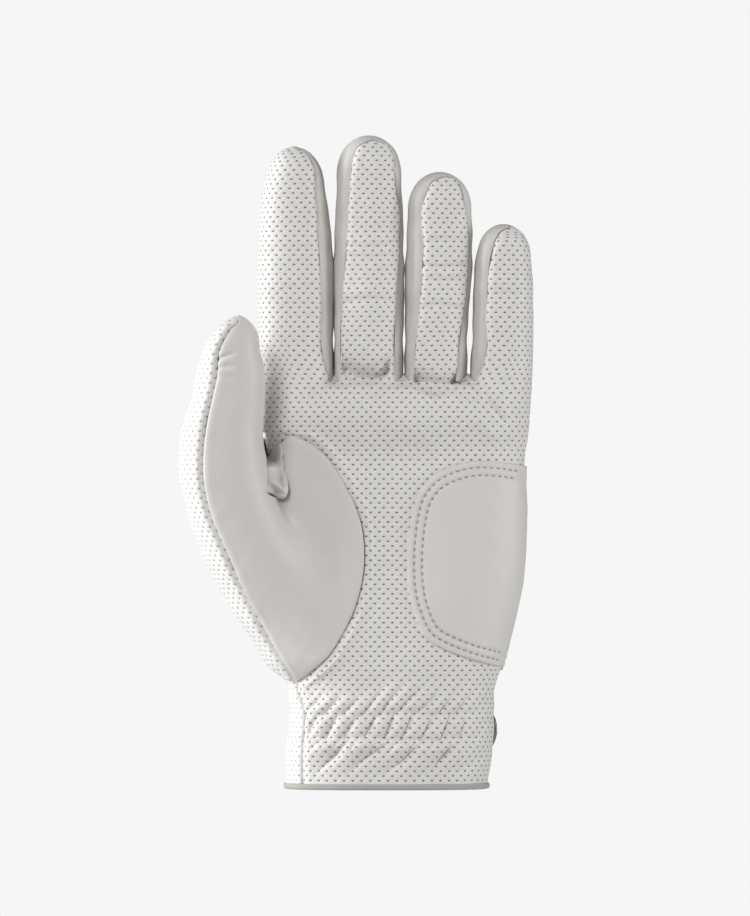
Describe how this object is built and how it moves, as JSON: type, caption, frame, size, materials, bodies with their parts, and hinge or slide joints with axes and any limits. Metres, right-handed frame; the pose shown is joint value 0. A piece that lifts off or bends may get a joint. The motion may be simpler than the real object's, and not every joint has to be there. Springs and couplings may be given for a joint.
{
  "type": "golf glove",
  "caption": "Left-hand golf glove filled out as if worn: perforated palm, smooth thumb and heel patch, bending fingers, elastic wrist, pull-tab closure and magnetic ball marker.",
  "frame": {"origin": "centre of the hand opening, in the plane of the hem", "axes": "+Z from the wrist to the fingertips, the palm faces -Y, the thumb is on the -X side"},
  "size_m": [0.122, 0.0579, 0.2259],
  "materials": {
    "back_leather": "matte, pierced with small holes",
    "marker_chrome": "polished",
    "tab_leather": "matte",
    "binding": "matte woven tape",
    "smooth_leather": "soft satin",
    "thread": "matte",
    "magnet": "satin",
    "hook_fabric": "matte",
    "perforated_palm": "matte, pierced with small holes",
    "loop_fabric": "brushed pile",
    "marker_face": "gloss enamel",
    "holder_plastic": "satin",
    "elastic": "matte woven cover"
  },
  "bodies": {
    "hand": {"back_panel": "back_leather", "cuff_binding": "binding", "heel_patch": "smooth_leather", "heel_patch_stitches_inner": "thread", "heel_patch_stitches_outer": "thread", "index_middle_web": "smooth_leather", "loop_pad": "loop_fabric", "middle_ring_web": "smooth_leather", "palm_panel": "perforated_palm", "ring_little_web": "smooth_leather", "slit_binding": "binding", "tab_anchor": "tab_leather", "thumb_panel": "smooth_leather", "wrist_elastic_lower": "elastic", "wrist_elastic_upper": "elastic"},
    "index_base": {"index_back_base": "back_leather", "index_fourchette_base": "smooth_leather", "index_palm_base": "perforated_palm"},
    "index_tip": {"index_back_tip": "back_leather", "index_fourchette_tip": "smooth_leather", "index_palm_tip": "perforated_palm"},
    "middle_base": {"middle_back_base": "back_leather", "middle_fourchette_base": "smooth_leather", "middle_palm_base": "perforated_palm"},
    "middle_tip": {"middle_back_tip": "back_leather", "middle_fourchette_tip": "smooth_leather", "middle_palm_tip": "perforated_palm"},
    "ring_base": {"ring_back_base": "back_leather", "ring_fourchette_base": "smooth_leather", "ring_palm_base": "perforated_palm"},
    "ring_tip": {"ring_back_tip": "back_leather", "ring_fourchette_tip": "smooth_leather", "ring_palm_tip": "perforated_palm"},
    "little_base": {"little_back_base": "back_leather", "little_fourchette_base": "smooth_leather", "little_palm_base": "perforated_palm"},
    "little_tip": {"little_back_tip": "back_leather", "little_fourchette_tip": "smooth_leather", "little_palm_tip": "perforated_palm"},
    "thumb_base": {"thumb_back_base": "back_leather", "thumb_palm_base": "smooth_leather"},
    "thumb_tip": {"thumb_back_tip": "back_leather", "thumb_palm_tip": "smooth_leather"},
    "closure": {"closure_tab": "tab_leather", "hook_pad": "hook_fabric", "marker_holder": "holder_plastic", "holder_magnet": "magnet"},
    "ball_marker": {"ball_marker": "marker_chrome", "marker_face": "marker_face"}
  },
  "joints": [
    {"name": "index_knuckle", "type": "hinge", "parent": "hand", "child": "index_base", "pos_m": [-0.0319, -0.00619, 0.1535], "axis": [1, 0, 0], "range_deg": [0, 80]},
    {"name": "index_middle_joint", "type": "hinge", "parent": "index_base", "child": "index_tip", "pos_m": [-0.0319, -0.00733, 0.177], "axis": [1, 0, 0], "range_deg": [0, 90]},
    {"name": "middle_knuckle", "type": "hinge", "parent": "hand", "child": "middle_base", "pos_m": [-0.0068, -0.00627, 0.1535], "axis": [1, 0, 0], "range_deg": [0, 80]},
    {"name": "middle_middle_joint", "type": "hinge", "parent": "middle_base", "child": "middle_tip", "pos_m": [-0.0068, -0.00743, 0.179], "axis": [1, 0, 0], "range_deg": [0, 90]},
    {"name": "ring_knuckle", "type": "hinge", "parent": "hand", "child": "ring_base", "pos_m": [0.0172, -0.00573, 0.1525], "axis": [1, 0, 0], "range_deg": [0, 80]},
    {"name": "ring_middle_joint", "type": "hinge", "parent": "ring_base", "child": "ring_tip", "pos_m": [0.0172, -0.007, 0.175], "axis": [1, 0, 0], "range_deg": [0, 90]},
    {"name": "little_knuckle", "type": "hinge", "parent": "hand", "child": "little_base", "pos_m": [0.0396, -0.00512, 0.152], "axis": [1, 0, 0], "range_deg": [0, 80]},
    {"name": "little_middle_joint", "type": "hinge", "parent": "little_base", "child": "little_tip", "pos_m": [0.0396, -0.00663, 0.1695], "axis": [1, 0, 0], "range_deg": [0, 90]},
    {"name": "thumb_knuckle", "type": "hinge", "parent": "hand", "child": "thumb_base", "pos_m": [-0.05096, -0.0207, 0.126], "axis": [-0.5736, -0.8192, 0], "range_deg": [-30, 0]},
    {"name": "thumb_tip_joint", "type": "hinge", "parent": "thumb_base", "child": "thumb_tip", "pos_m": [-0.05201, -0.02206, 0.147], "axis": [-0.5736, -0.8192, 0], "range_deg": [-65, 0]},
    {"name": "closure_opening", "type": "hinge", "parent": "hand", "child": "closure", "pos_m": [-0.02, 0.0233, 0.02], "axis": [0, 0, 1], "range_deg": [0, 120]},
    {"name": "marker_release", "type": "slide", "parent": "closure", "child": "ball_marker", "axis": [0.4664, 0.8846, 0], "range_m": [0, 0.02]}
  ]
}
